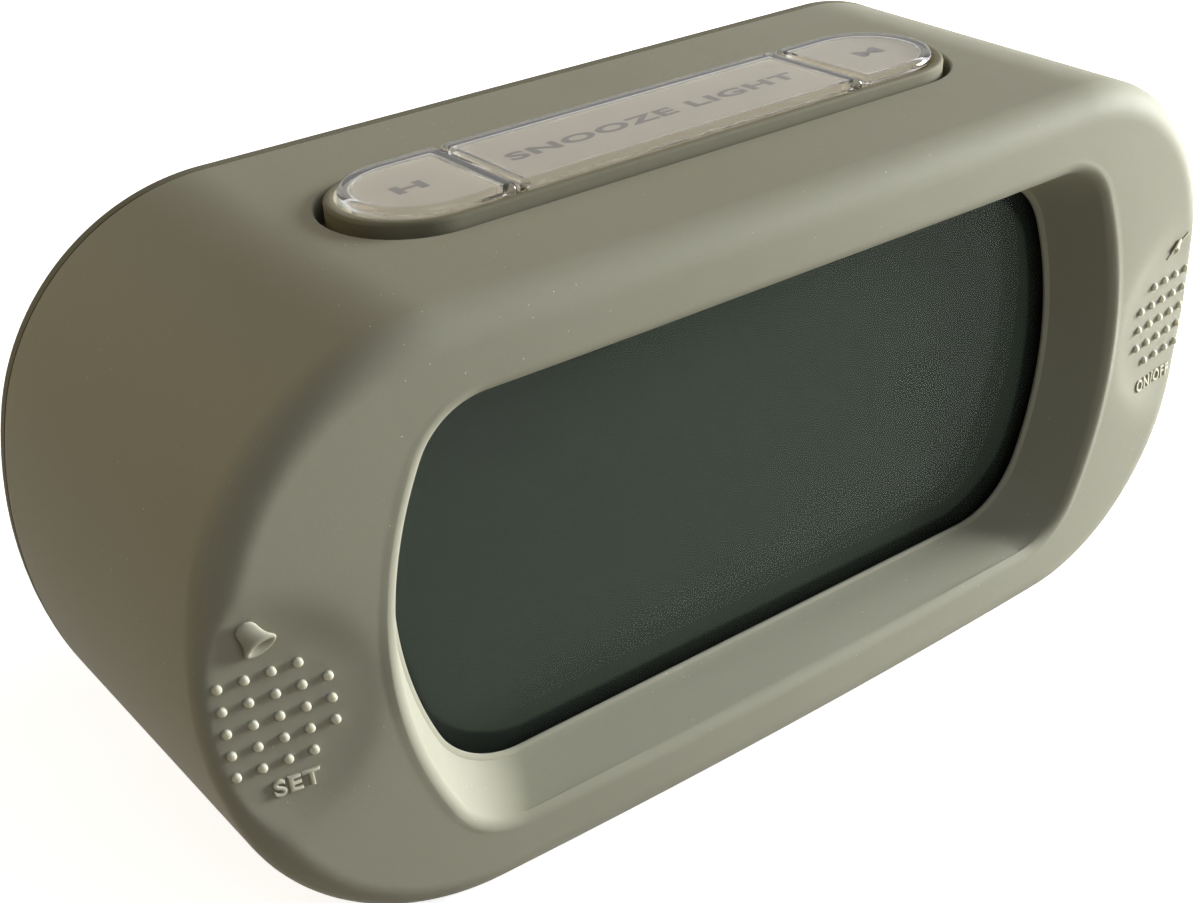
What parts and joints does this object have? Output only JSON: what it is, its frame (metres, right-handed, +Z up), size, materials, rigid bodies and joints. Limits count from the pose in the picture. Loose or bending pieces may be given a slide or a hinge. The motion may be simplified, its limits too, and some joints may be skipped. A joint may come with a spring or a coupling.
{
  "type": "digital alarm clock",
  "caption": "Free-standing digital alarm clock: rounded silicone-skinned body, recessed blank LCD, clear snooze, hour and minute keys on top, press pads at the ends of the face.",
  "frame": {"origin": "centre of the footprint on the surface that the clock stands on", "axes": "+X to the right as the user faces the display, +Y to the back, +Z up"},
  "size_m": [0.155, 0.053, 0.0752],
  "materials": {
    "silicone": "matte soft-touch",
    "housing_plastic": "fine texture",
    "clear_lens": "glossy acrylic",
    "clear_key": "polished clear acrylic",
    "legend_plastic": "satin",
    "lcd_glass": "blank reflective display",
    "light_guide": "clear acrylic",
    "led_white": "moulded",
    "holder_plastic": "matte",
    "contact_rubber": "matte",
    "board": "solder mask",
    "resin_black": "epoxy",
    "metal_can": "satin",
    "capacitor_sleeve": "shrink sleeve",
    "switch_plastic": "moulded",
    "plunger_plastic": "moulded",
    "cell": "printed sleeve, plain",
    "nickel": "nickel plate",
    "foam": "open cell foam",
    "brass": "satin",
    "ceramic": "silvered ceramic",
    "wire_red": "PVC",
    "wire_black": "PVC",
    "ribbon": "flat cable",
    "screw_steel": "zinc plate"
  },
  "bodies": {
    "root": {"alarm_switch": "switch_plastic", "battery_cells": "cell", "battery_contacts": "nickel", "battery_springs": "nickel", "board_screws": "screw_steel", "buzzer_ceramic": "ceramic", "buzzer_disc": "brass", "buzzer_wires": "wire_red", "chip_resistors": "resin_black", "contact_strip": "contact_rubber", "controller_chip": "resin_black", "cover_screws": "screw_steel", "display_holder": "holder_plastic", "display_lens": "clear_lens", "front_housing": "housing_plastic", "hour_switch": "switch_plastic", "key_board": "board", "key_board_screws": "screw_steel", "key_collar": "housing_plastic", "key_ribbon": "ribbon", "lcd_front_glass": "lcd_glass", "lcd_rear_glass": "lcd_glass", "light_guide": "light_guide", "main_board": "board", "minute_switch": "switch_plastic", "negative_wire": "wire_black", "positive_wire": "wire_red", "rear_cover": "housing_plastic", "set_switch": "switch_plastic", "side_lights": "led_white", "silicone_sleeve": "silicone", "slide_switch": "metal_can", "slider_wires": "wire_black", "smoothing_capacitor": "capacitor_sleeve", "snooze_switch": "switch_plastic", "timing_crystal": "metal_can"},
    "hour_key": {"hour_key_cap": "clear_key", "hour_legend_plate": "legend_plastic", "hour_plunger": "plunger_plastic"},
    "snooze_key": {"snooze_key_cap": "clear_key", "snooze_legend_plate": "legend_plastic", "snooze_plunger": "plunger_plastic"},
    "minute_key": {"minute_key_cap": "clear_key", "minute_legend_plate": "legend_plastic", "minute_plunger": "plunger_plastic"},
    "set_button": {"set_pad": "silicone", "set_plunger": "plunger_plastic"},
    "alarm_button": {"alarm_pad": "silicone", "alarm_plunger": "plunger_plastic"},
    "battery_lid": {"battery_door": "housing_plastic", "door_foam": "foam"},
    "mode_slider": {"slide_knob": "switch_plastic"}
  },
  "joints": [
    {"name": "hour_press", "type": "slide", "parent": "root", "child": "hour_key", "axis": [0, 0, -1], "range_m": [0, 0.0008], "stiffness_N_per_m": 1200, "springref_m": -0.0003},
    {"name": "snooze_press", "type": "slide", "parent": "root", "child": "snooze_key", "axis": [0, 0, -1], "range_m": [0, 0.0008], "stiffness_N_per_m": 1200, "springref_m": -0.0003},
    {"name": "minute_press", "type": "slide", "parent": "root", "child": "minute_key", "axis": [0, 0, -1], "range_m": [0, 0.0008], "stiffness_N_per_m": 1200, "springref_m": -0.0003},
    {"name": "set_press", "type": "slide", "parent": "root", "child": "set_button", "axis": [0, 1, 0], "range_m": [0, 0.0006], "stiffness_N_per_m": 1500, "springref_m": -0.0002},
    {"name": "alarm_press", "type": "slide", "parent": "root", "child": "alarm_button", "axis": [0, 1, 0], "range_m": [0, 0.0006], "stiffness_N_per_m": 1500, "springref_m": -0.0002},
    {"name": "battery_lid_hinge", "type": "hinge", "parent": "root", "child": "battery_lid", "pos_m": [0, 0.0257, 0.0118], "axis": [-1, 0, 0], "range_deg": [0, 80]},
    {"name": "mode_slide", "type": "slide", "parent": "root", "child": "mode_slider", "axis": [1, 0, 0], "range_m": [0, 0.0025]}
  ]
}
